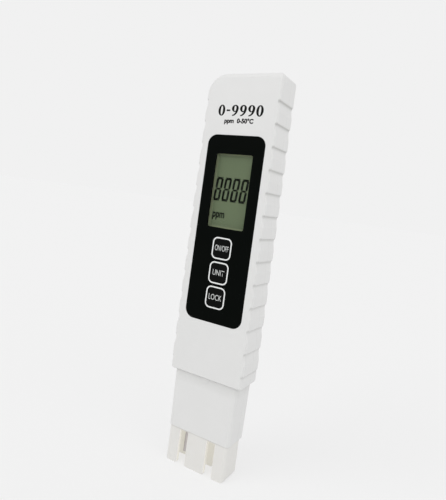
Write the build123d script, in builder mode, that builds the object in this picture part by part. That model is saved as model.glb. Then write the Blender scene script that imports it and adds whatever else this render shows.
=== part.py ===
from build123d import *
import os

# Pocket meter for dissolved solids, standing on its probe guard, display towards -Y.
# x = 0 is the centre line, y = 0 the middle of the case, z = 0 the tips of the probe guard.

# Outer form
guard_height = 13.6
neck_height = 22.1
case_height = 117.0
case_width = 31.6
case_depth = 14.4
parting_depth = 8.2            # from the display face to the line where the shells meet
left_top_radius = 8.0
right_top_radius = 1.5
bottom_corner_radius = 0.8
front_bevel = 0.5
top_bevel = 1.6                # the front edge slopes back further along the top
bevel_depth = 0.7
rear_bevel = 1.5
rear_top_bevel = 0.7

# Ribbed grips: each rib has a rounded lower nose and a long upper slope
grip_pitch = 8.48
first_groove = 4.7             # above the bottom of the case
groove_depth = 0.5
nose_rise = 0.8
nose_bulge_height = 0.35
nose_bulge_depth = 0.35
crest_end = 4.4
slope_end = 7.1
band_inset = 0.3
corner_margin = 1.0            # least straight edge between the last nose and a rounded corner

# Neck and probe guard
shoulder_width = 1.9
neck_taper = 0.45
neck_depth = 12.4
neck_radius = 1.6
neck_wall = 1.5
cap_stop_radius = 1.9          # half-round stop for the cap, right below the shoulder
cap_stop_height = 0.2
guard_side_inset = 0.35
guard_front_inset = 0.25
guard_rear_inset = 1.6
guard_radius = 1.5
guard_tip_radius = 1.5
prong_tip_radius = 0.7
guard_wall = 1.4
sample_gap_depth = 5.6
middle_prong_width = 8.5
slot_width = 3.6
guard_roof = 0.5
plug_height = 8.0
plug_floor = 1.5

# Shells
side_wall = 1.6
end_wall = 1.6
front_wall = 2.2
rear_wall = 1.8
cavity_radius = 4.5
rib_thickness = 0.9
rail_margin = 4.0              # from the case screws to the rails that line the shells up
rail_lap = 1.0

# Front panel, display window and keys
panel_side_margin = 3.5
panel_top_margin = 23.85
panel_height = 71.7
panel_thickness = 0.6
panel_radius = 3.8
view_width = 15.6
view_height = 28.3
view_top_margin = 7.25
view_radius = 0.8
window_flange = 1.7
window_flange_thickness = 0.5
wall_opening_margin = 1.1
web_thickness = 0.5
key_size = 7.0
key_radius = 1.4
key_pitch = 9.37
key_bottom_margin = 9.65
key_count = 3
key_clearance = 0.1
key_flange = 0.8
key_flange_thickness = 0.8
key_edge = 0.2
key_travel = 0.25
switch_gap = 0.6

# Liquid crystal display
film_thickness = 0.2
glass_thickness = 0.7
film_margin = 1.4
glass_margin = 1.6
glass_ledge = 1.8
frame_wall = 1.0
frame_plate = 0.8
frame_lip = 0.35
zebra_width = 1.5
zebra_margin = 0.2

# Circuit board and what is soldered on it
board_thickness = 1.0
board_side_gap = 0.25
board_shoulder_height = 3.1
switch_size = 4.5
switch_height = 1.9
plunger_radius = 1.15
plunger_length = 1.4
chip_radius = 4.6
chip_height = 1.3
chip_edge = 1.0
chip_height_in_view = 11.4
crystal_radius = 1.0
crystal_length = 6.0
crystal_edge = 0.3
crystal_gap = 3.0
small_part_height = 0.6
small_part_width = 2.0
small_part_length = 1.2
small_part_pitch = 4.0
small_part_rows = 4
small_part_spacing = 7.0
small_part_drop = 11.2         # below the view

# Cells and their bay
cell_radius = 5.8
cell_thickness = 5.4
cell_gap = 0.6
cell_clearance = 0.3
cell_edge = 0.3
contact_thickness = 0.4
contact_width = 7.0
tail_thickness = 0.25
tail_width = 1.6
tail_slot = 2.2
tail_inset = 1.5
tail_overlap = 4.0
arm_width = 1.5
bay_wall = 0.9
bay_floor = 1.0
bay_rim = 0.8
bay_rim_margin = 0.6

# Battery door
door_width = 18.0
door_thickness = 1.7
door_lap = 3.2
tongue_depth = 0.8
tongue_thickness = 0.6
door_clearance = 0.1
ridge_count = 5
ridge_pitch = 1.8
ridge_width = 10.8
ridge_depth = 0.4
ridge_margin = 8.0
door_travel = 28.0

# Electrodes, seals and fasteners
pin_radius = 0.72
pin_spacing = 14.0
pin_recess = 3.2
pin_length = 25.0
pin_edge = 0.25
seal_height = 1.5
seal_depth = 0.8
pin_seal_radius = 1.7
pin_seal_height = 0.9
bead_radius = 0.8
bead_height = 2.5
bead_pocket_width = 3.2
bead_pocket_depth = 2.4
lead_radius = 0.2
lead_spacing = 0.96
lead_overlap = 2.5
screw_radius = 0.95
screw_head_radius = 1.8
screw_head_height = 1.1
screw_clearance = 0.15
screw_depth = 4.2
screw_tip_gap = 0.3
recess_length = 2.2
recess_width = 0.5
recess_depth = 0.7
boss_wall = 1.3
screw_inset = 4.8
low_screw_height = 9.0
high_screw_gap = 1.1           # between the display frame and the boss below it
board_screw_height = 21.5
board_screw_inset = 2.0
board_screw_length = 4.4
fit_gap = 0.05
seat_gap = 0.1

# Heights and depths that follow
neck_bottom = guard_height
case_bottom = neck_bottom + neck_height
case_top = case_bottom + case_height
front_y = -case_depth / 2
back_y = case_depth / 2
parting_y = front_y + parting_depth
grip_room = case_height - first_groove - nose_rise - left_top_radius - corner_margin
grip_count = 1 + int(grip_room / grip_pitch)
front_inner = front_y + front_wall
back_inner = back_y - rear_wall
groove_half = case_width / 2 - groove_depth
cavity_half = groove_half - side_wall
cavity_bottom = case_bottom + end_wall
cavity_top = case_top - end_wall
neck_top_width = case_width - 2 * shoulder_width
neck_bottom_width = neck_top_width - 2 * neck_taper
neck_front = -neck_depth / 2
neck_cavity_width = neck_bottom_width - 2 * neck_wall
neck_cavity_depth = neck_depth - 2 * neck_wall
guard_width = neck_bottom_width - 2 * guard_side_inset
guard_front = neck_front + guard_front_inset
guard_back = -neck_front - guard_rear_inset
sample_front = guard_front + guard_wall
sample_back = sample_front + sample_gap_depth
sample_width = guard_width - 2 * guard_wall
sample_top = guard_height - guard_roof
pin_y = (sample_front + sample_back) / 2
pin_x = pin_spacing / 2
plug_top = guard_height + plug_height

panel_width = case_width - 2 * panel_side_margin
panel_back = front_y + panel_thickness
panel_top = case_top - panel_top_margin
panel_bottom = panel_top - panel_height
view_top = panel_top - view_top_margin
view_bottom = view_top - view_height
flange_back = panel_back + window_flange_thickness
pocket_front = flange_back + web_thickness
key_heights = [panel_bottom + key_bottom_margin + key_pitch * i for i in range(key_count)]
key_names = ["hold", "shift", "on_off"]

film_front = pocket_front + fit_gap
front_glass_front = film_front + film_thickness
rear_glass_front = front_glass_front + glass_thickness
reflector_front = rear_glass_front + glass_thickness
plate_front = reflector_front + film_thickness
glass_width = view_width + 2 * glass_margin
glass_bottom = view_bottom - glass_margin
glass_top = view_top + glass_margin
ledge_bottom = glass_bottom - glass_ledge
zebra_bottom = ledge_bottom + zebra_margin
frame_bottom = ledge_bottom - frame_lip
frame_top = glass_top + fit_gap + frame_wall

key_back = front_inner + fit_gap + key_flange_thickness
plunger_back = key_back + plunger_length
board_front = key_back + switch_gap + switch_height
board_back = board_front + board_thickness
board_tail_width = pin_spacing - 2 * (pin_radius + fit_gap)
board_tail_bottom = plug_top + pin_seal_height + seat_gap
board_tail_top = case_bottom + board_shoulder_height
chip_z = view_bottom + chip_height_in_view

contact_back = board_back + contact_thickness
cell_back = contact_back + cell_thickness
bay_floor_front = board_back - bay_floor
bay_top = cavity_top - seat_gap
bay_inner_top = bay_top - bay_wall
bay_half = cell_radius + cell_clearance
upper_cell_z = bay_inner_top - cell_clearance - cell_radius
lower_cell_z = upper_cell_z - 2 * cell_radius - cell_gap
bay_inner_bottom = lower_cell_z - cell_radius - cell_clearance
bay_bottom = bay_inner_bottom - bay_wall
board_top = bay_bottom - seat_gap
door_front = back_y - door_thickness
door_bottom = bay_bottom - door_lap
tongue_front = door_front + (door_thickness - tongue_thickness) / 2
tongue_back = tongue_front + tongue_thickness
bridge_front = cell_back + fit_gap
tail_x = bay_half - tail_inset

boss_radius = screw_radius + boss_wall
screw_x = case_width / 2 - screw_inset
screw_heights = [case_bottom + low_screw_height, frame_bottom - high_screw_gap - boss_radius]
screw_places = [(x, z) for x in (-screw_x, screw_x) for z in screw_heights]
board_width = 2 * (screw_x - boss_radius - board_side_gap)
board_screw_x = board_width / 2 - board_screw_inset
board_screw_z = case_bottom + board_screw_height
board_screw_places = [(-board_screw_x, board_screw_z), (board_screw_x, board_screw_z)]


def plate(width, bottom, top, y_front, y_back, radius=0.0, x=0.0, mode=Mode.ADD):
    """A slab that faces the display side."""
    with BuildSketch(Plane.XZ.offset(-y_back)) as outline:
        with Locations((x, (bottom + top) / 2)):
            if radius:
                RectangleRounded(width, top - bottom, radius)
            else:
                Rectangle(width, top - bottom)
    extrude(outline.sketch, amount=y_back - y_front, mode=mode)


def upright(width, y_front, y_back, bottom, top, radius=0.0, x=0.0, mode=Mode.ADD):
    """A block that stands along the length of the meter."""
    with BuildSketch(Plane.XY.offset(bottom)) as outline:
        with Locations((x, (y_front + y_back) / 2)):
            if radius:
                RectangleRounded(width, y_back - y_front, radius)
            else:
                Rectangle(width, y_back - y_front)
    extrude(outline.sketch, amount=top - bottom, mode=mode)


def posts(places, radius, y_front, y_back, mode=Mode.ADD):
    """Round posts or holes that run from front to back."""
    with BuildSketch(Plane.XZ.offset(-y_back)) as outline:
        with Locations(*places):
            Circle(radius)
    extrude(outline.sketch, amount=y_back - y_front, mode=mode)


def save(piece, name):
    piece.part.label = name
    export_step(piece.part, f"parts/{name}.step")


def case_face(side_inset=0.0, top_inset=0.0):
    """Outline of the case seen from the front, with the ribbed grips on both sides."""
    crest = case_width / 2 - side_inset
    valley = groove_half - side_inset
    band = crest - band_inset
    bottom = case_bottom + side_inset
    top = case_top - top_inset
    groove = case_bottom + first_groove
    with BuildSketch() as face:
        with BuildLine():
            Line((0, bottom), (band, bottom))
            Line((band, bottom), (band, groove - nose_rise))
            Line((band, groove - nose_rise), (valley, groove))
            for rib in range(grip_count):
                foot = groove + rib * grip_pitch
                rib_end = top if rib == grip_count - 1 else foot + crest_end
                ThreePointArc(
                    (valley, foot),
                    (valley + nose_bulge_depth, foot + nose_bulge_height),
                    (crest, foot + nose_rise),
                )
                Line((crest, foot + nose_rise), (crest, rib_end))
                if rib < grip_count - 1:
                    Line((crest, rib_end), (valley, foot + slope_end))
                    Line((valley, foot + slope_end), (valley, foot + grip_pitch))
            Line((crest, top), (0, top))
            Line((0, top), (0, bottom))
        make_face()
        mirror(about=Plane.YZ)
        inset = (side_inset + top_inset) / 2
        fillet(face.vertices().group_by(Axis.Y)[-1].sort_by(Axis.X)[0], left_top_radius - inset)
        fillet(face.vertices().group_by(Axis.Y)[-1].sort_by(Axis.X)[-1], right_top_radius - inset / 2)
        fillet(face.vertices().group_by(Axis.Y)[0], bottom_corner_radius - side_inset / 2)
    return face.sketch


os.makedirs("parts", exist_ok=True)

# Outer body of case and neck, later parted into two shells
with BuildPart() as body:
    with BuildSketch(Plane.XZ.offset(-back_y)):
        add(case_face(rear_bevel, rear_top_bevel))
    with BuildSketch(Plane.XZ.offset(rear_bevel - back_y)):
        add(case_face())
    loft(ruled=True)
    with BuildSketch(Plane.XZ.offset(rear_bevel - back_y)):
        add(case_face())
    extrude(amount=case_depth - rear_bevel - bevel_depth)
    with BuildSketch(Plane.XZ.offset(-front_y - bevel_depth)):
        add(case_face())
    with BuildSketch(Plane.XZ.offset(-front_y)):
        add(case_face(front_bevel, top_bevel))
    loft(ruled=True)
    with BuildSketch(Plane.XY.offset(neck_bottom)) as neck_foot:
        RectangleRounded(neck_bottom_width, neck_depth, neck_radius)
    with BuildSketch(Plane.XY.offset(case_bottom)) as neck_head:
        RectangleRounded(neck_top_width, neck_depth, neck_radius)
    loft()
    posts([(0, case_bottom)], cap_stop_radius, neck_front - cap_stop_height, 0)

# Front shell with the recess of the panel, the display window and the holes of the keys
with BuildPart() as front_case:
    add(body.part)
    split(bisect_by=Plane.XZ.offset(-parting_y), keep=Keep.TOP)
    plate(2 * cavity_half, cavity_bottom, cavity_top, front_inner, parting_y, cavity_radius,
          mode=Mode.SUBTRACT)
    upright(neck_cavity_width, -neck_cavity_depth / 2, neck_cavity_depth / 2, neck_bottom, cavity_bottom,
            mode=Mode.SUBTRACT)
    posts(screw_places, boss_radius, front_inner, parting_y)
    posts(board_screw_places, boss_radius - screw_clearance, front_inner, board_front)
    for side in (-1, 1):
        plate(rib_thickness, bay_inner_bottom, bay_inner_top, front_inner, bay_floor_front,
              x=side * (bay_half - rib_thickness))
    plate(panel_width + 2 * fit_gap, panel_bottom - fit_gap, panel_top + fit_gap, front_y, panel_back,
          panel_radius, mode=Mode.SUBTRACT)
    plate(view_width + 2 * (window_flange + fit_gap), view_bottom - window_flange - fit_gap,
          view_top + window_flange + fit_gap, panel_back, flange_back, mode=Mode.SUBTRACT)
    plate(view_width + 2 * wall_opening_margin, view_bottom - wall_opening_margin,
          view_top + wall_opening_margin, flange_back, front_inner, mode=Mode.SUBTRACT)
    plate(glass_width + 2 * fit_gap, ledge_bottom - fit_gap, glass_top + fit_gap, pocket_front, front_inner,
          mode=Mode.SUBTRACT)
    for height in key_heights:
        plate(key_size + 2 * key_clearance, height - key_size / 2 - key_clearance,
              height + key_size / 2 + key_clearance, panel_back, front_inner,
              key_radius + key_clearance, mode=Mode.SUBTRACT)
    posts(screw_places, screw_radius + fit_gap, parting_y - screw_depth, parting_y, Mode.SUBTRACT)
    posts(board_screw_places, screw_radius + fit_gap, board_back - board_screw_length, board_front,
          Mode.SUBTRACT)
save(front_case, "front_case")

# Rear shell, open at the top behind the cells, with grooves for the door
with BuildPart() as rear_case:
    add(body.part)
    split(bisect_by=Plane.XZ.offset(-parting_y), keep=Keep.BOTTOM)
    plate(2 * cavity_half, cavity_bottom, cavity_top, parting_y, back_inner, cavity_radius,
          mode=Mode.SUBTRACT)
    upright(neck_cavity_width, -neck_cavity_depth / 2, neck_cavity_depth / 2, neck_bottom, cavity_bottom,
            mode=Mode.SUBTRACT)
    posts(screw_places, boss_radius, parting_y, back_inner)
    for side in (-1, 1):
        plate(rib_thickness, screw_heights[0] + rail_margin, screw_heights[1] - rail_margin,
              parting_y, back_inner, x=side * (cavity_half - rib_thickness / 2))
        plate(rib_thickness - seat_gap, screw_heights[0] + rail_margin, screw_heights[1] - rail_margin,
              parting_y - rail_lap, parting_y, x=side * (cavity_half - (rib_thickness + seat_gap) / 2))
    plate(door_width + 2 * door_clearance, door_bottom - door_clearance, case_top,
          bridge_front - seat_gap, back_y, mode=Mode.SUBTRACT)
    plate(door_width + 2 * (tongue_depth + door_clearance), door_bottom - door_clearance, case_top,
          tongue_front - door_clearance, tongue_back + door_clearance, mode=Mode.SUBTRACT)
    posts(screw_places, screw_radius + screw_clearance, parting_y, back_inner, Mode.SUBTRACT)
    posts(screw_places, screw_head_radius + screw_clearance, back_inner, back_y, Mode.SUBTRACT)
save(rear_case, "rear_case")

# Printed panel with its openings
with BuildPart() as panel_overlay:
    plate(panel_width, panel_bottom, panel_top, front_y, panel_back, panel_radius)
    plate(view_width + 2 * fit_gap, view_bottom - fit_gap, view_top + fit_gap, front_y, panel_back,
          view_radius, mode=Mode.SUBTRACT)
    for height in key_heights:
        plate(key_size + 2 * key_clearance, height - key_size / 2 - key_clearance,
              height + key_size / 2 + key_clearance, front_y, panel_back,
              key_radius + key_clearance, mode=Mode.SUBTRACT)
save(panel_overlay, "panel_overlay")

# Clear window with a flange that the panel holds down
with BuildPart() as display_window:
    plate(view_width, view_bottom, view_top, front_y, panel_back, view_radius)
    plate(view_width + 2 * window_flange, view_bottom - window_flange, view_top + window_flange,
          panel_back, flange_back)
save(display_window, "display_window")

# The display itself: film, two glasses, film
with BuildPart() as front_polariser:
    plate(view_width + 2 * film_margin, view_bottom - film_margin, view_top + film_margin,
          film_front, front_glass_front)
save(front_polariser, "front_polariser")

with BuildPart() as lcd_front_glass:
    plate(glass_width, ledge_bottom, glass_top, front_glass_front, rear_glass_front)
save(lcd_front_glass, "lcd_front_glass")

with BuildPart() as lcd_rear_glass:
    plate(glass_width, glass_bottom, glass_top, rear_glass_front, reflector_front)
save(lcd_rear_glass, "lcd_rear_glass")

with BuildPart() as lcd_reflector:
    plate(view_width + 2 * film_margin, view_bottom - film_margin, view_top + film_margin,
          reflector_front, plate_front)
save(lcd_reflector, "lcd_reflector")

# Frame that carries the glass on the board and guides the rubber connector
with BuildPart() as lcd_frame:
    plate(glass_width + 2 * (fit_gap + frame_wall), frame_bottom, frame_top, front_inner, board_front)
    plate(glass_width + 2 * fit_gap, ledge_bottom - fit_gap, glass_top + fit_gap, front_inner, plate_front,
          mode=Mode.SUBTRACT)
    plate(glass_width - 2 * frame_wall, glass_bottom, glass_top - frame_wall, plate_front + frame_plate,
          board_front, mode=Mode.SUBTRACT)
    plate(glass_width - frame_wall + 2 * fit_gap, zebra_bottom - fit_gap,
          zebra_bottom + zebra_width + fit_gap, plate_front, board_front, mode=Mode.SUBTRACT)
    plate(glass_width + 2 * (fit_gap + frame_wall), frame_bottom, ledge_bottom - fit_gap,
          front_inner, rear_glass_front + fit_gap, mode=Mode.SUBTRACT)
save(lcd_frame, "lcd_frame")

with BuildPart() as zebra_strip:
    plate(glass_width - frame_wall, zebra_bottom, zebra_bottom + zebra_width, rear_glass_front, board_front)
save(zebra_strip, "zebra_strip")

# Circuit board, wide behind the display and narrow in the neck
with BuildPart() as main_board:
    plate(board_width, board_tail_top, board_top, board_front, board_back)
    plate(board_tail_width, board_tail_bottom, board_tail_top, board_front, board_back)
    posts(board_screw_places, screw_radius + screw_clearance, board_front, board_back, Mode.SUBTRACT)
save(main_board, "main_board")

with BuildPart() as key_switches:
    for height in key_heights:
        plate(switch_size, height - switch_size / 2, height + switch_size / 2,
              board_front - switch_height, board_front)
    posts([(0, height) for height in key_heights], plunger_radius + fit_gap, board_front - switch_height,
          plunger_back + key_travel + fit_gap, Mode.SUBTRACT)
save(key_switches, "key_switches")

with BuildPart() as driver_chip:
    posts([(0, chip_z)], chip_radius, board_back, board_back + chip_height)
    fillet(driver_chip.faces().sort_by(Axis.Y)[-1].edges(), chip_edge)
save(driver_chip, "driver_chip")

with BuildPart() as quartz_crystal:
    with BuildSketch(Plane.XY.offset(chip_z - chip_radius - crystal_gap - crystal_length)) as can:
        with Locations((0, board_back + crystal_radius)):
            Circle(crystal_radius)
    extrude(amount=crystal_length)
    fillet(quartz_crystal.faces().sort_by(Axis.Z)[-1].edges(), crystal_edge)
save(quartz_crystal, "quartz_crystal")

with BuildPart() as board_components:
    for column in (-1, 1):
        for row in range(small_part_rows):
            middle = view_bottom - small_part_drop - row * small_part_pitch
            plate(small_part_width, middle - small_part_length / 2, middle + small_part_length / 2,
                  board_back, board_back + small_part_height, x=column * small_part_spacing / 2)
save(board_components, "board_components")

# Keys with the switch plungers they press
for name, height in zip(key_names, key_heights):
    with BuildPart() as key:
        plate(key_size, height - key_size / 2, height + key_size / 2, front_y,
              front_inner + fit_gap, key_radius)
        fillet(key.faces().sort_by(Axis.Y)[0].edges(), key_edge)
        plate(key_size + 2 * key_flange, height - key_size / 2 - key_flange / 2,
              height + key_size / 2 + key_flange / 2, front_inner + fit_gap, key_back)
    save(key, f"{name}_key")
    with BuildPart() as plunger:
        posts([(0, height)], plunger_radius, key_back, plunger_back)
    save(plunger, f"{name}_plunger")

# Probe guard with its slots, open at the tips, and the plug that the neck holds
with BuildPart() as probe_head:
    upright(guard_width, guard_front, guard_back, 0, guard_height, guard_radius)
    plate(guard_width, 0, guard_height + 2 * guard_tip_radius, guard_front, guard_back, guard_tip_radius,
          mode=Mode.INTERSECT)
    upright(neck_cavity_width - 2 * fit_gap, fit_gap - neck_cavity_depth / 2,
            neck_cavity_depth / 2 - fit_gap, guard_height, plug_top)
    upright(sample_width, sample_front, sample_back, 0, sample_top, mode=Mode.SUBTRACT)
    for side in (-1, 1):
        plate(slot_width, 0, sample_top, guard_front, guard_back,
              x=side * (middle_prong_width + slot_width) / 2, mode=Mode.SUBTRACT)
    slot_reach = middle_prong_width / 2 + slot_width + fit_gap
    tips = probe_head.edges().filter_by(Axis.Y).filter_by_position(Axis.X, -slot_reach, slot_reach)
    fillet(tips.group_by(Axis.Z)[0], prong_tip_radius)
    seal_low = guard_height + (plug_height - seal_height) / 2
    upright(neck_cavity_width, -neck_cavity_depth / 2, neck_cavity_depth / 2, seal_low,
            seal_low + seal_height, mode=Mode.SUBTRACT)
    upright(neck_cavity_width - 2 * seal_depth, -neck_cavity_depth / 2 + seal_depth,
            neck_cavity_depth / 2 - seal_depth, seal_low, seal_low + seal_height)
    with BuildSketch(Plane.XY.offset(0)) as pin_holes:
        with Locations((-pin_x, pin_y), (pin_x, pin_y)):
            Circle(pin_radius)
    extrude(amount=plug_top, mode=Mode.SUBTRACT)
    upright(bead_pocket_width, pin_y - bead_pocket_depth / 2, pin_y + bead_pocket_depth / 2,
            guard_height + plug_floor, plug_top, mode=Mode.SUBTRACT)
save(probe_head, "probe_head")

with BuildPart() as probe_seal:
    upright(neck_cavity_width, -neck_cavity_depth / 2, neck_cavity_depth / 2, seal_low,
            seal_low + seal_height)
    upright(neck_cavity_width - 2 * seal_depth, -neck_cavity_depth / 2 + seal_depth,
            neck_cavity_depth / 2 - seal_depth, seal_low, seal_low + seal_height, mode=Mode.SUBTRACT)
save(probe_seal, "probe_seal")

with BuildPart() as electrode_pins:
    with BuildSketch(Plane.XY.offset(pin_recess)) as pin_ends:
        with Locations((-pin_x, pin_y), (pin_x, pin_y)):
            Circle(pin_radius)
    extrude(amount=pin_length)
    fillet(electrode_pins.faces().group_by(Axis.Z)[0].edges(), pin_edge)
save(electrode_pins, "electrode_pins")

with BuildPart() as pin_seals:
    with BuildSketch(Plane.XY.offset(plug_top)) as pin_rings:
        with Locations((-pin_x, pin_y), (pin_x, pin_y)):
            Circle(pin_seal_radius)
            Circle(pin_radius, mode=Mode.SUBTRACT)
    extrude(amount=pin_seal_height)
save(pin_seals, "pin_seals")

with BuildPart() as thermistor:
    with BuildSketch(Plane.XY.offset(guard_height + bead_height)) as leads:
        with GridLocations(lead_spacing, 0, 2, 1):
            with Locations((0, board_front - lead_radius)):
                Circle(lead_radius)
    extrude(amount=board_tail_bottom + lead_overlap - guard_height - bead_height)
    with Locations((0, board_front - lead_radius, guard_height + bead_height)):
        Sphere(bead_radius)
save(thermistor, "thermistor")

# Cell bay, cells and contacts
with BuildPart() as battery_holder:
    plate(2 * (bay_half + bay_wall), bay_bottom, bay_top, bay_floor_front, back_inner)
    plate(door_width + 2 * bay_rim_margin, bay_bottom, bay_top, back_inner - bay_rim, back_inner)
    plate(2 * bay_half, bay_inner_bottom, bay_inner_top, board_back, back_inner, mode=Mode.SUBTRACT)
    plate(contact_width + 2 * seat_gap, bay_inner_bottom, bay_top, bridge_front - seat_gap, back_inner,
          mode=Mode.SUBTRACT)
    for side in (-1, 1):
        plate(tail_slot, bay_bottom, bay_inner_bottom, board_back, contact_back, x=side * tail_x,
              mode=Mode.SUBTRACT)
save(battery_holder, "battery_holder")

with BuildPart() as upper_cell:
    posts([(0, upper_cell_z)], cell_radius, contact_back, cell_back)
    fillet(upper_cell.edges().filter_by(GeomType.CIRCLE), cell_edge)
save(upper_cell, "upper_cell")

with BuildPart() as lower_cell:
    posts([(0, lower_cell_z)], cell_radius, contact_back, cell_back)
    fillet(lower_cell.edges().filter_by(GeomType.CIRCLE), cell_edge)
save(lower_cell, "lower_cell")

for name, height, side in (("positive", lower_cell_z, 1), ("negative", upper_cell_z, -1)):
    with BuildPart() as contact:
        plate(contact_width, height - contact_width / 2, height + contact_width / 2, board_back, contact_back)
        plate(tail_width, board_top - tail_overlap, height, board_back, board_back + tail_thickness,
              x=side * tail_x)
        plate(tail_x, height - arm_width, height, board_back, board_back + tail_thickness,
              x=side * tail_x / 2)
    save(contact, f"{name}_contact")

# Door that slides off upwards, and the strip on it that joins the cells
with BuildPart() as battery_door:
    plate(door_width, door_bottom, case_top, door_front, back_y)
    chamfer(battery_door.faces().sort_by(Axis.Y)[-1].edges().sort_by(Axis.Z)[-1], rear_top_bevel)
    plate(door_width + 2 * tongue_depth, door_bottom, case_top, tongue_front, tongue_back)
    for ridge in range(ridge_count):
        middle = case_top - ridge_margin - ridge * ridge_pitch
        plate(ridge_width, middle - ridge_pitch / 4, middle + ridge_pitch / 4, back_y - ridge_depth,
              back_y, mode=Mode.SUBTRACT)
save(battery_door, "battery_door")

with BuildPart() as bridge_contact:
    plate(contact_width, lower_cell_z - cell_radius / 2, upper_cell_z + cell_radius / 2,
          bridge_front, door_front)
save(bridge_contact, "bridge_contact")

# Fasteners
with BuildPart() as case_screws:
    posts(screw_places, screw_radius, parting_y - screw_depth + screw_tip_gap, back_inner)
    posts(screw_places, screw_head_radius, back_inner, back_inner + screw_head_height)
    for x, z in screw_places:
        for turn in (0, 90):
            with BuildSketch(Plane.XZ.offset(-back_inner - screw_head_height)) as cross:
                with Locations(Location((x, z, 0), (0, 0, turn))):
                    Rectangle(recess_length, recess_width)
            extrude(amount=recess_depth, mode=Mode.SUBTRACT)
save(case_screws, "case_screws")

with BuildPart() as board_screws:
    posts(board_screw_places, screw_radius, board_back - board_screw_length + screw_tip_gap,
          board_back)
    posts(board_screw_places, screw_head_radius - screw_clearance, board_back, board_back + screw_head_height)
save(board_screws, "board_screws")
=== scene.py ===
import math

import bmesh
import bpy
from mathutils import Matrix, Vector


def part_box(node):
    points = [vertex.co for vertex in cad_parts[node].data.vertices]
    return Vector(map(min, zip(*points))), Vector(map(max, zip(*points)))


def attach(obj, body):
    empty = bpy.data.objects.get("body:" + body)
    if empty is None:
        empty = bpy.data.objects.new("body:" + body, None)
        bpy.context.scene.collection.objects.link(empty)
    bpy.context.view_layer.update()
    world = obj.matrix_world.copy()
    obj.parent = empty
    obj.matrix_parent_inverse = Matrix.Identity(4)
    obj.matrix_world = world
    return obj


# Pocket meter for dissolved solids: finishes, prints, display figures, light and camera.
# Everything is in metres in the frame of the solids, display towards -Y, standing on Z = 0.

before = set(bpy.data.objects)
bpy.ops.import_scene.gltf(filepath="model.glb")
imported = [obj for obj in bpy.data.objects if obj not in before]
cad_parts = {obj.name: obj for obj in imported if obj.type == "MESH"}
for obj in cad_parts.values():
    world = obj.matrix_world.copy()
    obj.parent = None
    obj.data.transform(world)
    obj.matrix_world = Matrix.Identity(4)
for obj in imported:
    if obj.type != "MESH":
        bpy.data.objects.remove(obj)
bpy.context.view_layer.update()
mm = 0.001

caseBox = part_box("front_case")
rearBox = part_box("rear_case")
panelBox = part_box("panel_overlay")
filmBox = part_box("front_polariser")
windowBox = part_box("display_window")
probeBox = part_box("probe_head")
partingDepth = caseBox[1].y
keyNames = ("on_off_key", "shift_key", "hold_key")
rightAngle = math.radians(90)
displayMiddle = (windowBox[0] + windowBox[1]) / 2
print("frame loaded,", len(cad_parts), "nodes")


def fromScreen(red, green, blue):
    # screen colour 0 to 255, made linear
    channels = [value / 255 for value in (red, green, blue)]
    linear = [c / 12.92 if c <= 0.04045 else ((c + 0.055) / 1.055) ** 2.4 for c in channels]
    return (*linear, 1.0)


class Signal:
    # one output of a node; sums written on it become Math nodes
    def __init__(self, paint, socket):
        self.paint = paint
        self.socket = socket

    def maths(self, operation, first, second=0.0):
        return self.paint.node("ShaderNodeMath", {"operation": operation}, {0: first, 1: second})

    def __add__(self, other):
        return self.maths("ADD", self, other)

    def __radd__(self, other):
        return self.maths("ADD", other, self)

    def __sub__(self, other):
        return self.maths("SUBTRACT", self, other)

    def __rsub__(self, other):
        return self.maths("SUBTRACT", other, self)

    def __mul__(self, other):
        return self.maths("MULTIPLY", self, other)

    def __rmul__(self, other):
        return self.maths("MULTIPLY", other, self)

    def __truediv__(self, other):
        return self.maths("DIVIDE", self, other)

    def __pow__(self, other):
        return self.maths("POWER", self, other)

    def __gt__(self, other):
        return self.maths("GREATER_THAN", self, other)

    def __lt__(self, other):
        return self.maths("LESS_THAN", self, other)

    def __abs__(self):
        return self.maths("ABSOLUTE", self)

    def larger(self, other):
        return self.maths("MAXIMUM", self, other)

    def fraction(self):
        return self.maths("FRACT", self)


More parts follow.
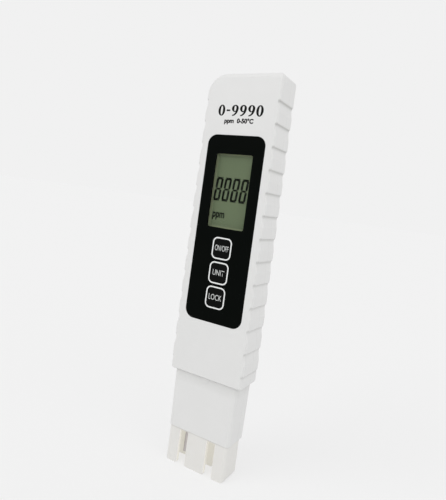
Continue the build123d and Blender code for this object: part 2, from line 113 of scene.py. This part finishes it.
class Paint:
    # a material while its nodes are being laid out
    def __init__(self, name):
        self.material = bpy.data.materials.new(name)
        self.material.use_nodes = True
        self.tree = self.material.node_tree
        self.tree.nodes.clear()
        self.place = self.node("ShaderNodeTexCoord", out="Object")

    def node(self, kind, settings=None, sockets=None, out=0):
        made = self.tree.nodes.new(kind)
        for name, value in (settings or {}).items():
            if name == "stops":
                self.setStops(made.color_ramp, value)
            else:
                setattr(made, name, value)
        for key, value in (sockets or {}).items():
            if isinstance(value, Signal):
                self.tree.links.new(value.socket, made.inputs[key])
            else:
                made.inputs[key].default_value = value
        return Signal(self, made.outputs[out]) if made.outputs else None

    def setStops(self, ramp, stops):
        while len(ramp.elements) < len(stops):
            ramp.elements.new(1.0)
        for element, (position, value) in zip(ramp.elements, stops):
            element.position = position
            element.color = (value, value, value, 1.0)

    def axis(self, letter):
        return self.node("ShaderNodeSeparateXYZ", sockets={0: self.place}, out="XYZ".index(letter))

    def noise(self, size, detail=2.0, roughness=0.5, place=None):
        # size is about how wide one blotch is, in metres
        values = {"Vector": place or self.place, "Scale": 1 / size, "Detail": detail, "Roughness": roughness}
        return self.node("ShaderNodeTexNoise", sockets=values)

    def stretched(self, scale):
        # the place, stretched so that a pattern runs along one axis
        return self.node("ShaderNodeMapping", sockets={"Vector": self.place, "Scale": scale})

    def between(self, pattern, low, high):
        # a value that wanders from low to high
        return self.noise(*pattern) * (high - low) + low

    def ramp(self, value, stops):
        return self.node("ShaderNodeValToRGB", {"stops": stops}, {0: value})

    def mix(self, amount, low, high):
        return self.node("ShaderNodeMix", {"data_type": "RGBA"}, {0: amount, 6: low, 7: high}, out=2)

    def bump(self, height, depth):
        return self.node("ShaderNodeBump", sockets={"Height": height, "Distance": depth})

    def tone(self, look):
        return self.mix(self.noise(*look["patch"]), *look["tones"])

    def rough(self, look):
        return self.between(look["gloss"], *look["roughness"])

    def grain(self, look):
        return self.bump(self.noise(*look["grain"]), look["grainDepth"])

    def close(self, shader):
        self.node("ShaderNodeOutputMaterial", sockets={"Surface": shader})
        return self.material

    def surface(self, sockets):
        return self.close(self.node("ShaderNodeBsdfPrincipled", sockets=sockets))


# A patch, grain, gloss or streak is a pattern: how wide its blotches are and how finely broken up.
shellLook = {
    "tones": (fromScreen(229, 229, 228), fromScreen(233, 233, 232)), "patch": (9 * mm, 3.0),
    "grain": (0.16 * mm, 3.0, 0.6), "grainDepth": 0.006 * mm,
    "roughness": (0.34, 0.42), "gloss": (3 * mm, 2.0),
    "seamHalf": 0.04 * mm, "seamColour": fromScreen(204, 204, 202),
    "grooveFromTop": 112.3 * mm, "groovePitch": 8.48 * mm, "grooveCount": 13, "grooveHalf": 0.9 * mm,
    "grooveFrom": 0.12 * mm, "grooveTo": 1.0 * mm, "rearBevel": 1.5 * mm,
    # painted shade in the grip grooves: its colour, and how strong it is at the lowest and highest groove
    "grooveShadeColour": fromScreen(176, 176, 172), "grooveLow": 0.30, "grooveHigh": 0.62,
    "caseHeight": 117.0 * mm,                       # from the top down to the shoulder above the neck
    # painted shade on the neck just below the shoulder, fading downwards
    "neckShade": fromScreen(206, 206, 204), "neckShadeReach": 4.5 * mm, "neckShadeAmount": 0.5,
}


def shellPlastic():
    # satin moulded shell; painted shade darkens the bottoms of the grip grooves, more towards the top, and
    # the neck just below the shoulder; the seam is a hair line
    look = shellLook
    paint = Paint("shellPlastic")
    # painted shade along the grip grooves: a soft dark band at each groove, stronger towards the top
    firstGroove = caseBox[1].z - look["grooveFromTop"]
    turns = (paint.axis("Z") - firstGroove) / look["groovePitch"] + 0.5      # a half at each groove
    away = abs(turns.fraction() - 0.5) * look["groovePitch"]
    depthIn = caseBox[1].x - abs(paint.axis("X"))
    reach = (paint.axis("Y") > rearBox[1].y - look["rearBevel"]) * look["rearBevel"] + look["grooveTo"]
    inGroove = ((depthIn > look["grooveFrom"]) * (depthIn - reach < 0.0) * (turns > 0.0)
                * (turns < look["grooveCount"]))
    shade = (1 - away / look["grooveHalf"]).larger(0.0) * inGroove
    strength = turns * ((look["grooveHigh"] - look["grooveLow"]) / look["grooveCount"]) + look["grooveLow"]
    tone = paint.mix(shade * strength, paint.tone(look), look["grooveShadeColour"])
    # painted shade: the neck is darkest just below the shoulder's overhang and lightens downwards
    below = (caseBox[1].z - look["caseHeight"] - paint.axis("Z")) / look["neckShadeReach"]
    neck = (1 - below).larger(0.0) * (below > 0.0)
    tone = paint.mix(neck * look["neckShadeAmount"], tone, look["neckShade"])
    seam = abs(paint.axis("Y") - partingDepth) < look["seamHalf"]
    tone = paint.mix(seam, tone, look["seamColour"])
    return paint.surface({"Base Color": tone, "Roughness": paint.rough(look), "Normal": paint.grain(look)})


probeLook = {
    # inside is a warmer, darker painted shade for the inside of the guard; glow is a painted glow there
    "outside": fromScreen(234, 233, 230), "inside": fromScreen(222, 219, 211),
    "mottle": fromScreen(228, 226, 221), "mottlePatch": (5 * mm, 2.0), "mottleAmount": 0.5,
    # edgeShade and edgeBand: a painted shadow on the guard just below the neck's bottom edge
    "glow": (0.215, 0.215, 0.205, 1.0), "edgeShade": fromScreen(206, 205, 201), "edgeBand": 0.7 * mm,
    "wall": 1.4 * mm, "gapDepth": 5.6 * mm, "roof": 0.5 * mm, "skin": 0.05 * mm,
    "prongHalf": 4.25 * mm, "slotFar": 7.85 * mm,
    "grain": (0.2 * mm, 3.0), "grainDepth": 0.006 * mm,
    "roughness": (0.36, 0.46), "gloss": (2 * mm, 2.0),
}


def probePlastic():
    # painted light: inside the guard and on the walls of its slots a warmer, darker painted shade and a
    # faint painted glow stand in for light through the thin walls
    look = probeLook
    paint = Paint("probePlastic")
    low, high = probeBox
    aside = abs(paint.axis("X"))
    deep = paint.axis("Y")
    nearWall = look["wall"] - look["skin"]
    inside = ((aside < high.x - nearWall) * (deep > low.y + nearWall)
              * (deep < low.y + look["wall"] + look["gapDepth"] + look["skin"]))
    cheeks = (abs(aside - look["prongHalf"]) < look["skin"]) + (abs(aside - look["slotFar"]) < look["skin"])
    below = paint.axis("Z") < caseBox[0].z - look["roof"] + look["skin"]
    inner = inside.larger(cheeks) * below
    mottle = paint.noise(*look["mottlePatch"]) * look["mottleAmount"]
    tone = paint.mix(mottle, look["outside"], look["mottle"])
    # painted shadow: a darker band on the guard just below the neck's overhanging bottom edge
    edge = (1 - (caseBox[0].z - paint.axis("Z")) / look["edgeBand"]).larger(0.0)
    tone = paint.mix(edge, tone, look["edgeShade"])
    # painted shade and painted glow on the inside of the guard and on its slot walls
    tone = paint.mix(inner, tone, look["inside"])
    glow = paint.mix(inner, (0.0, 0.0, 0.0, 1.0), look["glow"])
    return paint.surface({"Base Color": tone, "Roughness": paint.rough(look), "Normal": paint.grain(look),
                          "Emission Color": glow, "Emission Strength": 1.0})


panelLook = {
    "tones": (fromScreen(5, 8, 6), fromScreen(8, 11, 9)), "patch": (6 * mm, 2.0),
    "grain": (2.5 * mm, 1.0), "grainDepth": 0.004 * mm,
    "roughness": (0.14, 0.22), "gloss": (1.5 * mm, 3.0), "specular": 0.025,
}
keyLook = {
    "tones": (fromScreen(9, 10, 9), fromScreen(13, 14, 13)), "patch": (2 * mm, 2.0),
    "grain": (0.12 * mm, 3.0), "grainDepth": 0.004 * mm,
    "roughness": (0.30, 0.38), "gloss": (1 * mm, 2.0), "specular": 0.05,
}
innerLook = {
    "tones": (fromScreen(222, 222, 220), fromScreen(208, 208, 205)), "patch": (4 * mm, 2.0),
    "grain": (0.15 * mm, 3.0), "grainDepth": 0.01 * mm,
    "roughness": (0.45, 0.55), "gloss": (2 * mm, 2.0), "specular": 0.5,
}
rubberLook = {
    "tones": (fromScreen(38, 38, 40), fromScreen(52, 52, 54)), "patch": (0.6 * mm, 2.0),
    "grain": (0.08 * mm, 4.0), "grainDepth": 0.02 * mm,
    "roughness": (0.70, 0.80), "gloss": (1 * mm, 2.0), "specular": 0.5,
}
blackLook = {
    "tones": (fromScreen(26, 26, 28), fromScreen(40, 40, 42)), "patch": (0.5 * mm, 3.0),
    "grain": (0.1 * mm, 3.0), "grainDepth": 0.01 * mm,
    "roughness": (0.45, 0.60), "gloss": (1 * mm, 2.0), "specular": 0.5,
}
inkLook = {
    "grain": (0.1 * mm, 2.0), "grainDepth": 0.003 * mm, "roughness": (0.45, 0.55), "gloss": (1 * mm, 2.0),
}
displayInkLook = {
    **inkLook, "tones": (fromScreen(3, 4, 3), fromScreen(6, 8, 5)), "patch": (0.3 * mm, 3.0),
    "specular": 0.03,
}
whiteInkLook = {
    **inkLook, "tones": (fromScreen(246, 247, 246), fromScreen(236, 238, 237)), "patch": (0.5 * mm, 3.0),
    "specular": 0.3,
}
greyInkLook = {**whiteInkLook, "tones": (fromScreen(222, 224, 222), fromScreen(206, 208, 206))}
blackInkLook = {**whiteInkLook, "tones": (fromScreen(8, 8, 9), fromScreen(16, 16, 17)), "specular": 0.1}


def plainFinish(name, look):
    # two tones in soft patches, a fine grain and a gloss that wanders
    paint = Paint(name)
    return paint.surface({"Base Color": paint.tone(look), "Roughness": paint.rough(look),
                          "Normal": paint.grain(look), "Specular IOR Level": look["specular"]})


windowLook = {
    "colour": fromScreen(60, 66, 60), "haze": (0.03, 0.045), "hazePatch": (3 * mm, 3.0),
    "roughness": (0.04, 0.09), "gloss": (1 * mm, 2.0),
}


def clearWindow():
    look = windowLook
    paint = Paint("clearWindow")
    haze = paint.between(look["hazePatch"], *look["haze"])
    return paint.surface({"Base Color": look["colour"], "Roughness": paint.rough(look), "Alpha": haze})


glassLook = {
    "tones": (fromScreen(196, 206, 196), fromScreen(180, 192, 182)), "patch": (2 * mm, 2.0),
    "haze": (0.22, 0.27), "roughness": (0.04, 0.08), "gloss": (1 * mm, 2.0),
}


def displayGlass():
    look = glassLook
    paint = Paint("displayGlass")
    haze = paint.between(look["patch"], *look["haze"])
    return paint.surface({"Base Color": paint.tone(look), "Roughness": paint.rough(look), "Alpha": haze})


filmLook = {
    "tones": (fromScreen(112, 127, 96), fromScreen(104, 118, 89)), "patch": (0.3 * mm, 3.0),
    "edge": fromScreen(150, 160, 126), "edgeWidth": 0.8 * mm, "viewHalf": Vector((7.8, 0.0, 14.15)) * mm,
    "roughness": (0.40, 0.50), "gloss": (1 * mm, 2.0), "specular": 0.2,
}


def greenFilm():
    # reflective display film, a little lighter and yellower just inside the edge of the window
    look = filmLook
    paint = Paint("greenFilm")
    sideways = abs(paint.axis("X") - displayMiddle.x) - look["viewHalf"].x
    upwards = abs(paint.axis("Z") - displayMiddle.z) - look["viewHalf"].z
    border = paint.ramp(sideways.larger(upwards) / look["edgeWidth"] + 1, [(0.0, 0.0), (1.0, 1.0)])
    tone = paint.mix(border, paint.tone(look), look["edge"])
    return paint.surface({"Base Color": tone, "Roughness": paint.rough(look),
                          "Specular IOR Level": look["specular"]})


zebraLook = {
    "stripeScale": 2800.0, "stripeShare": 0.5,
    "pale": fromScreen(210, 205, 190), "dark": fromScreen(26, 26, 28),
    "roughness": (0.60, 0.70), "gloss": (1 * mm, 2.0),
}


def zebraRubber():
    # fine conducting stripes across the rubber connector
    look = zebraLook
    paint = Paint("zebraRubber")
    stripe = paint.node("ShaderNodeTexWave", {"bands_direction": "X"},
                        {"Vector": paint.place, "Scale": look["stripeScale"]})
    tone = paint.mix(stripe > look["stripeShare"], look["pale"], look["dark"])
    return paint.surface({"Base Color": tone, "Roughness": paint.rough(look)})


boardLook = {
    "resist": fromScreen(52, 128, 74), "shade": fromScreen(20, 76, 46),
    "shadePatch": (0.5 * mm, 3.0), "shadeAmount": 0.4,
    "roughness": (0.30, 0.45), "gloss": (1 * mm, 2.0),
}


def boardLaminate():
    # green solder resist over darker patches of laminate
    look = boardLook
    paint = Paint("boardLaminate")
    shade = paint.noise(*look["shadePatch"]) * look["shadeAmount"]
    tone = paint.mix(shade, look["resist"], look["shade"])
    return paint.surface({"Base Color": tone, "Roughness": paint.rough(look)})


metalLook = {
    "streak": (0.12 * mm, 4.0, 0.6), "stretch": (1.0, 1.0, 0.1), "streakDepth": 0.004 * mm,
    "steel": {"tones": (fromScreen(205, 205, 205), fromScreen(170, 170, 172)), "rough": 0.25},
    "pin": {"tones": (fromScreen(222, 218, 220), fromScreen(190, 186, 188)), "rough": 0.42},
    "brass": {"tones": (fromScreen(226, 208, 158), fromScreen(196, 174, 122)), "rough": 0.28},
    "roughRange": 0.15,
}


def platedMetal(name, kind):
    # fine streaks along Z
    look = metalLook
    paint = Paint(name)
    streaks = paint.noise(*look["streak"], paint.stretched(look["stretch"]))
    tone = paint.mix(streaks, *look[kind]["tones"])
    normal = paint.bump(streaks, look["streakDepth"])
    rough = streaks * look["roughRange"] + look[kind]["rough"]
    return paint.surface({"Base Color": tone, "Metallic": 1.0, "Roughness": rough, "Normal": normal})


cellLook = {
    "tones": (fromScreen(214, 214, 212), fromScreen(176, 176, 176)), "rough": 0.22, "roughRange": 0.15,
    "streak": (0.15 * mm, 4.0, 0.6), "stretch": (1.0, 1.0, 0.08), "reliefDepth": 0.01 * mm,
    "gasket": 4.7 * mm, "gasketHalf": 0.22 * mm, "gasketColour": fromScreen(60, 60, 62), "gasketSink": 3.0,
}


def cellSteel(name, node):
    # brushed can with the dark gasket ring on its flat face
    look = cellLook
    middle = (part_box(node)[0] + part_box(node)[1]) / 2
    paint = Paint(name)
    streaks = paint.noise(*look["streak"], paint.stretched(look["stretch"]))
    aside = paint.axis("X") - middle.x
    above = paint.axis("Z") - middle.z
    radius = (aside * aside + above * above) ** 0.5
    ring = abs(radius - look["gasket"]) < look["gasketHalf"]
    tone = paint.mix(ring, paint.mix(streaks, *look["tones"]), look["gasketColour"])
    normal = paint.bump(streaks - ring * look["gasketSink"], look["reliefDepth"])
    rough = streaks * look["roughRange"] + look["rough"]
    return paint.surface({"Base Color": tone, "Metallic": 1 - ring, "Roughness": rough, "Normal": normal})


finishes = {
    "shell": shellPlastic(),
    "probe": probePlastic(),
    "panel": plainFinish("panelGloss", panelLook),
    "key": plainFinish("keyPlastic", keyLook),
    "window": clearWindow(),
    "glass": displayGlass(),
    "film": greenFilm(),
    "ink": plainFinish("displayInk", displayInkLook),
    "whiteInk": plainFinish("whiteInk", whiteInkLook),
    "greyInk": plainFinish("greyInk", greyInkLook),
    "blackInk": plainFinish("blackInk", blackInkLook),
    "inner": plainFinish("innerPlastic", innerLook),
    "rubber": plainFinish("darkRubber", rubberLook),
    "zebra": zebraRubber(),
    "board": boardLaminate(),
    "black": plainFinish("mouldedBlack", blackLook),
    "steel": platedMetal("platedSteel", "steel"),
    "pin": platedMetal("pinMetal", "pin"),
    "contact": platedMetal("springBrass", "brass"),
    "upperCell": cellSteel("upperCellSteel", "upper_cell"),
    "lowerCell": cellSteel("lowerCellSteel", "lower_cell"),
}
nodeFinishes = {
    "shell": ["front_case", "rear_case", "battery_door"],
    "probe": ["probe_head"],
    "panel": ["panel_overlay"],
    "key": keyNames,
    "window": ["display_window"],
    "film": ["front_polariser", "lcd_reflector"],
    "glass": ["lcd_front_glass", "lcd_rear_glass"],
    "inner": ["lcd_frame", "battery_holder"],
    "zebra": ["zebra_strip"],
    "rubber": ["probe_seal", "pin_seals"],
    "board": ["main_board"],
    "black": ["driver_chip", "board_components", "key_switches", "thermistor",
              "on_off_plunger", "shift_plunger", "hold_plunger"],
    "pin": ["electrode_pins"],
    "steel": ["quartz_crystal", "case_screws", "board_screws"],
    "upperCell": ["upper_cell"],
    "lowerCell": ["lower_cell"],
    "contact": ["positive_contact", "negative_contact", "bridge_contact"],
}
for finishName, nodeNames in nodeFinishes.items():
    for nodeName in nodeNames:
        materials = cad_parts[nodeName].data.materials
        materials.clear()
        materials.append(finishes[finishName])
print("finishes on", sum(len(names) for names in nodeFinishes.values()), "nodes")


def startClean():
    bpy.ops.object.select_all(action="DESELECT")


def applyPlace():
    bpy.ops.object.transform_apply(location=True, rotation=True, scale=True)


def applyModifier(piece, name):
    bpy.context.view_layer.objects.active = piece
    bpy.ops.object.modifier_apply(modifier=name)


def pick(test):
    # in edit mode: selects the corners whose place passes the test
    mesh = bmesh.from_edit_mesh(bpy.context.edit_object.data)
    for corner in mesh.verts:
        corner.select = test(corner.co)
    mesh.select_flush_mode()
    bmesh.update_edit_mesh(bpy.context.edit_object.data)


facing = (rightAngle, 0.0, 0.0)          # turns a flat piece to face -Y
printLook = {"depth": 0.03 * mm, "proud": 0.005 * mm}


def thicken(piece, depth):
    solid = piece.modifiers.new("thickness", "SOLIDIFY")
    solid.thickness = depth
    solid.offset = 0.0
    applyModifier(piece, "thickness")


def setPrint(piece, middle, depth=printLook["depth"], proud=printLook["proud"]):
    # stands a flat piece up on its surface, a hair proud of it and the rest sunk in
    startClean()
    piece.select_set(True)
    bpy.context.view_layer.objects.active = piece
    piece.rotation_euler = facing
    piece.location = (middle.x, middle.y + depth / 2 - proud, middle.z)
    applyPlace()
    thicken(piece, depth)


def settle(piece, name, body, finishName):
    piece.name = name
    piece.data.name = name
    piece.data.materials.clear()
    piece.data.materials.append(finishes[finishName])
    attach(piece, body)


def keyMiddle(keyName):
    low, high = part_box(keyName)
    return Vector(((low.x + high.x) / 2, low.y, (low.z + high.z) / 2))


ringLook = {
    "width": 8.24 * mm, "height": 8.34 * mm, "radius": 2.0 * mm, "stroke": 0.5 * mm, "cornerSteps": 8,
}


def makeRing(keyName):
    # rounded square outline printed on the panel round a key
    startClean()
    bpy.ops.mesh.primitive_plane_add(size=1.0)
    piece = bpy.context.active_object
    piece.scale = (ringLook["width"], ringLook["height"], 1.0)
    applyPlace()
    bpy.ops.object.mode_set(mode="EDIT")
    bpy.ops.mesh.bevel(offset=ringLook["radius"], segments=ringLook["cornerSteps"], affect="VERTICES")
    bpy.ops.mesh.select_all(action="SELECT")
    bpy.ops.mesh.inset(thickness=ringLook["stroke"])
    bpy.ops.mesh.delete(type="FACE")
    bpy.ops.object.mode_set(mode="OBJECT")
    setPrint(piece, keyMiddle(keyName))
    settle(piece, keyName.replace("key", "ring"), "housing", "whiteInk")


for keyName in keyNames:
    makeRing(keyName)
print("rings printed round the keys")


def makeWords(words, width, height, weight):
    # flat lettering of a given size round its own middle; weight fattens the strokes
    startClean()
    bpy.ops.object.text_add(location=(0, 0, 0))
    piece = bpy.context.active_object
    piece.data.body = words
    piece.data.offset = weight
    bpy.ops.object.convert(target="MESH")
    piece = bpy.context.active_object
    places = [corner.co for corner in piece.data.vertices]
    low = Vector((min(place.x for place in places), min(place.y for place in places), 0))
    high = Vector((max(place.x for place in places), max(place.y for place in places), 0))
    bpy.ops.object.mode_set(mode="EDIT")
    bpy.ops.mesh.select_all(action="SELECT")
    bpy.ops.transform.translate(value=-(low + high) / 2)
    bpy.ops.object.mode_set(mode="OBJECT")
    piece.scale = (width / (high.x - low.x), height / (high.y - low.y), 1.0)
    applyPlace()
    return piece


legendLook = {
    "on_off_key": ("ON/OFF", 5.9 * mm), "shift_key": ("UNIT", 5.0 * mm), "hold_key": ("LOCK", 5.6 * mm),
    "height": 2.15 * mm, "weight": 0.004, "above": 0.1 * mm,
}
for keyName in keyNames:
    words, width = legendLook[keyName]
    piece = makeWords(words, width, legendLook["height"], legendLook["weight"])
    setPrint(piece, keyMiddle(keyName) + Vector((0, 0, legendLook["above"])))
    button = keyName.replace("key", "button")
    settle(piece, keyName.replace("key", "legend"), button, "greyInk")
print("legends on the keys")

rangeLook = {
    "marks": "0-9990", "above": 9.5 * mm, "aside": 0.0,
    "advance": 3.5 * mm, "dashAdvance": 2.3 * mm, "steps": 48,
    "zero": ((1.50, 2.16), (0.46, 1.72)),              # outer and inner half sizes in mm
    "bowl": ((1.46, 1.38), (0.42, 1.00)), "bowlAbove": 0.78 * mm,
    "tail": ((2.46, 2.94), (1.50, 2.46)), "tailAside": -1.0 * mm,
    "dash": (1.6 * mm, 0.62 * mm),
}


def makeOval(halfSizes, middle):
    # flat ring between two ovals: thick at its sides and thin at its top and bottom
    startClean()
    ovals = []
    for wide, tall in halfSizes:
        bpy.ops.mesh.primitive_circle_add(vertices=rangeLook["steps"], radius=mm, location=(*middle, 0.0))
        oval = bpy.context.active_object
        oval.scale = (wide, tall, 1.0)
        ovals.append(oval)
    for oval in ovals:
        oval.select_set(True)
    applyPlace()
    bpy.ops.object.join()
    bpy.ops.object.mode_set(mode="EDIT")
    bpy.ops.mesh.select_all(action="SELECT")
    bpy.ops.mesh.bridge_edge_loops()
    bpy.ops.object.mode_set(mode="OBJECT")
    return bpy.context.active_object


def makeNine():
    bowlMiddle = (0.0, rangeLook["bowlAbove"])
    bowl = makeOval(rangeLook["bowl"], bowlMiddle)
    tail = makeOval(rangeLook["tail"], (rangeLook["tailAside"], rangeLook["bowlAbove"]))
    bpy.ops.object.mode_set(mode="EDIT")
    hair = 0.001 * mm
    pick(lambda place: place.x < rangeLook["tailAside"] - hair or place.y > rangeLook["bowlAbove"] + hair)
    bpy.ops.mesh.delete(type="VERT")
    bpy.ops.object.mode_set(mode="OBJECT")
    for piece in (bowl, tail):
        thicken(piece, printLook["depth"])
    union = bowl.modifiers.new("union", "BOOLEAN")
    union.operation = "UNION"
    union.solver = "EXACT"
    union.object = tail
    applyModifier(bowl, "union")
    bpy.data.objects.remove(tail)
    return bowl


def makeZero():
    zero = makeOval(rangeLook["zero"], (0.0, 0.0))
    thicken(zero, printLook["depth"])
    return zero


def makeDash():
    startClean()
    bpy.ops.mesh.primitive_plane_add(size=1.0)
    dash = bpy.context.active_object
    dash.scale = (*rangeLook["dash"], 1.0)
    applyPlace()
    thicken(dash, printLook["depth"])
    return dash


def makeRange():
    # the measuring range, set in figures with thick and thin strokes
    marks = rangeLook["marks"]
    advances = [rangeLook["dashAdvance"] if mark == "-" else rangeLook["advance"] for mark in marks]
    across = -sum(advances) / 2
    made = []
    for mark, advance in zip(marks, advances):
        figure = {"0": makeZero, "9": makeNine, "-": makeDash}[mark]()
        figure.location = (across + advance / 2, 0.0, 0.0)
        across += advance
        made.append(figure)
    startClean()
    for figure in made:
        figure.select_set(True)
    bpy.context.view_layer.objects.active = made[0]
    applyPlace()
    bpy.ops.object.join()
    title = bpy.context.active_object
    title.rotation_euler = facing
    title.location = (rangeLook["aside"], caseBox[0].y + printLook["depth"] / 2 - printLook["proud"],
                      panelBox[1].z + rangeLook["above"])
    applyPlace()
    settle(title, "range_print", "housing", "blackInk")


makeRange()
unitLook = {"words": "ppm  0-50°C", "width": 12.4 * mm, "height": 2.5 * mm, "weight": 0.05,
            "aside": -0.2 * mm, "above": 5.3 * mm}
unitLine = makeWords(unitLook["words"], unitLook["width"], unitLook["height"], unitLook["weight"])
setPrint(unitLine, Vector((unitLook["aside"], caseBox[0].y, panelBox[1].z + unitLook["above"])))
settle(unitLine, "unit_print", "housing", "blackInk")
print("range printed above the panel")

figureLook = {
    "count": 4, "pitch": 3.68 * mm, "height": 9.2 * mm, "width": 2.95 * mm,
    "stroke": 0.92 * mm, "gap": 0.08 * mm, "slant": math.radians(5.0),
    "aside": -0.36 * mm, "above": 0.6 * mm, "depth": 0.01 * mm, "clear": 0.015 * mm,
    "cornerCut": 0.45, "taper": 1.8, "sideShift": 0.12, "middleShare": 0.8,     # shares of a bar's thickness
    "unit": "ppm", "unitWidth": 5.3 * mm, "unitHeight": 3.05 * mm, "unitWeight": 0.035,
    "unitAside": -4.35 * mm, "unitAbove": -9.9 * mm,
}


def makeSegment(middle, size, ends):
    # one bar of a figure, with pointed ends or narrower on its inner side
    startClean()
    bpy.ops.mesh.primitive_plane_add(size=1.0)
    bar = bpy.context.active_object
    bar.scale = (*size, 1.0)
    applyPlace()
    bpy.ops.object.mode_set(mode="EDIT")
    if ends == "pointed":
        bpy.ops.mesh.bevel(offset=min(size) * figureLook["cornerCut"], segments=1, affect="VERTICES")
    else:
        inner = -1 if ends == "narrowBelow" else 1
        pick(lambda place: place.y * inner > 0)
        share = 1 - figureLook["taper"] * size[1] / size[0]
        bpy.ops.transform.resize(value=(share, 1.0, 1.0), center_override=(0, inner * size[1] / 2, 0))
    bpy.ops.object.mode_set(mode="OBJECT")
    bar.location = (*middle, 0.0)
    applyPlace()
    return bar


def makeFigure():
    high, wide, stroke, gap = (figureLook[key] for key in ("height", "width", "stroke", "gap"))
    side = (wide - stroke) / 2
    tall = high / 2 - stroke / 2 - gap
    flat = wide - stroke - 2 * gap
    rise = tall / 2 + gap / 2 + figureLook["sideShift"] * stroke
    bars = [makeSegment((across * side, up * rise), (stroke, tall), "pointed")
            for across in (-1, 1) for up in (-1, 1)]
    bars.append(makeSegment((0, (high - stroke) / 2), (flat + stroke, stroke), "narrowBelow"))
    bars.append(makeSegment((0, (stroke - high) / 2), (flat + stroke, stroke), "narrowAbove"))
    bars.append(makeSegment((0, 0), (flat, stroke * figureLook["middleShare"]), "pointed"))
    startClean()
    for bar in bars:
        bar.select_set(True)
    bpy.context.view_layer.objects.active = bars[0]
    bpy.ops.object.join()
    figure = bpy.context.active_object
    figure.data.transform(Matrix.Shear("XZ", 4, (math.tan(figureLook["slant"]), 0.0)))
    return figure


displayFront = filmBox[0].y - figureLook["clear"]
firstFigure = makeFigure()
for index in range(figureLook["count"]):
    figure = firstFigure.copy()
    figure.data = firstFigure.data.copy()
    bpy.context.scene.collection.objects.link(figure)
    step = (index - (figureLook["count"] - 1) / 2) * figureLook["pitch"]
    place = Vector((displayMiddle.x + figureLook["aside"] + step, displayFront,
                    displayMiddle.z + figureLook["above"]))
    setPrint(figure, place, figureLook["depth"], 0.0)
    settle(figure, f"display_figure_{index + 1}", "housing", "ink")
bpy.data.objects.remove(firstFigure)
unitFigure = makeWords(figureLook["unit"], figureLook["unitWidth"], figureLook["unitHeight"],
                       figureLook["unitWeight"])
unitPlace = Vector((displayMiddle.x + figureLook["unitAside"], displayFront,
                    displayMiddle.z + figureLook["unitAbove"]))
setPrint(unitFigure, unitPlace, figureLook["depth"], 0.0)
settle(unitFigure, "display_unit", "housing", "ink")
print("display figures made")

studio = {
    "background": 0.879, "ambient": 0.70,
    "floorColour": fromScreen(229, 229, 229), "floorPatch": fromScreen(231, 231, 231),
    "floorBlotch": 0.4, "floorGlow": 0.62, "floorSize": 40.0,
    "keyFrom": (-0.50, -0.75, 0.55), "keyStrength": 0.68, "keyAngle": math.radians(40),
    "fillFrom": (0.90, -0.35, 0.35), "fillStrength": 0.64, "fillAngle": math.radians(60),
}


def makeWorld():
    world = bpy.data.worlds.new("studio")
    bpy.context.scene.world = world
    world.use_nodes = True
    tree = world.node_tree
    tree.nodes.clear()
    rays = tree.nodes.new("ShaderNodeLightPath")
    seen = rays.outputs["Is Camera Ray"]
    for other in ("Is Glossy Ray", "Is Transmission Ray"):
        larger = tree.nodes.new("ShaderNodeMath")
        larger.operation = "MAXIMUM"
        tree.links.new(seen, larger.inputs[0])
        tree.links.new(rays.outputs[other], larger.inputs[1])
        seen = larger.outputs[0]
    blend = tree.nodes.new("ShaderNodeMixShader")
    tree.links.new(seen, blend.inputs[0])
    for index, level in ((1, studio["ambient"]), (2, studio["background"])):
        glow = tree.nodes.new("ShaderNodeBackground")
        glow.inputs["Color"].default_value = (level, level, level, 1.0)
        tree.links.new(glow.outputs[0], blend.inputs[index])
    output = tree.nodes.new("ShaderNodeOutputWorld")
    tree.links.new(blend.outputs[0], output.inputs["Surface"])


def makeFloor():
    # pale floor that keeps the meter's shadow and fades into the background
    paint = Paint("studioFloor")
    tone = paint.mix(paint.noise(studio["floorBlotch"]), studio["floorColour"], studio["floorPatch"])
    plain = paint.node("ShaderNodeBsdfDiffuse", sockets={"Color": tone})
    glow = paint.node("ShaderNodeEmission", sockets={"Color": (1.0, 1.0, 1.0, 1.0), "Strength": 1.0})
    camera, glossy, through = (paint.node("ShaderNodeLightPath", out=name) for name in
                               ("Is Camera Ray", "Is Glossy Ray", "Is Transmission Ray"))
    seen = camera.larger(glossy).larger(through)
    share = seen * studio["floorGlow"]
    paint.close(paint.node("ShaderNodeMixShader", sockets={0: share, 1: plain, 2: glow}))
    startClean()
    bpy.ops.mesh.primitive_plane_add(size=studio["floorSize"])
    floor = bpy.context.active_object
    floor.name = "studio_floor"
    floor.data.materials.append(paint.material)


def addSun(name, fromPlace, strength, angle):
    startClean()
    bpy.ops.object.light_add(type="SUN", location=fromPlace)
    sun = bpy.context.active_object
    sun.name = name
    sun.data.energy = strength
    sun.data.angle = angle
    sun.rotation_euler = Vector(fromPlace).to_track_quat("Z", "Y").to_euler()


makeWorld()
makeFloor()
addSun("key_light", studio["keyFrom"], studio["keyStrength"], studio["keyAngle"])
addSun("fill_light", studio["fillFrom"], studio["fillStrength"], studio["fillAngle"])

view = {
    "fromPanel": Vector((82.36, -151.27, 9.56)) * mm,     # from the middle of the panel's face
    "heading": math.radians(29.14), "tilt": math.radians(-0.18), "roll": math.radians(7.79),
    "focalPixels": 454.67, "pictureHeight": 500, "sensor": 36.0, "shiftY": -0.09,
    "nearest": 5 * mm, "farthest": 100.0,
}


def makeCamera():
    panelMiddle = (panelBox[0] + panelBox[1]) / 2
    panelMiddle.y = panelBox[0].y
    data = bpy.data.cameras.new("camera")
    data.sensor_width = view["sensor"]
    data.lens = view["focalPixels"] * view["sensor"] / view["pictureHeight"]
    data.shift_y = view["shiftY"]
    data.clip_start = view["nearest"]
    data.clip_end = view["farthest"]
    camera = bpy.data.objects.new("camera", data)
    bpy.context.scene.collection.objects.link(camera)
    turn = (Matrix.Rotation(view["heading"], 4, "Z") @ Matrix.Rotation(rightAngle + view["tilt"], 4, "X")
            @ Matrix.Rotation(view["roll"], 4, "Z"))
    camera.matrix_world = Matrix.Translation(panelMiddle + view["fromPanel"]) @ turn
    bpy.context.scene.camera = camera


makeCamera()
bpy.context.scene.view_settings.view_transform = "Standard"
print("studio ready")
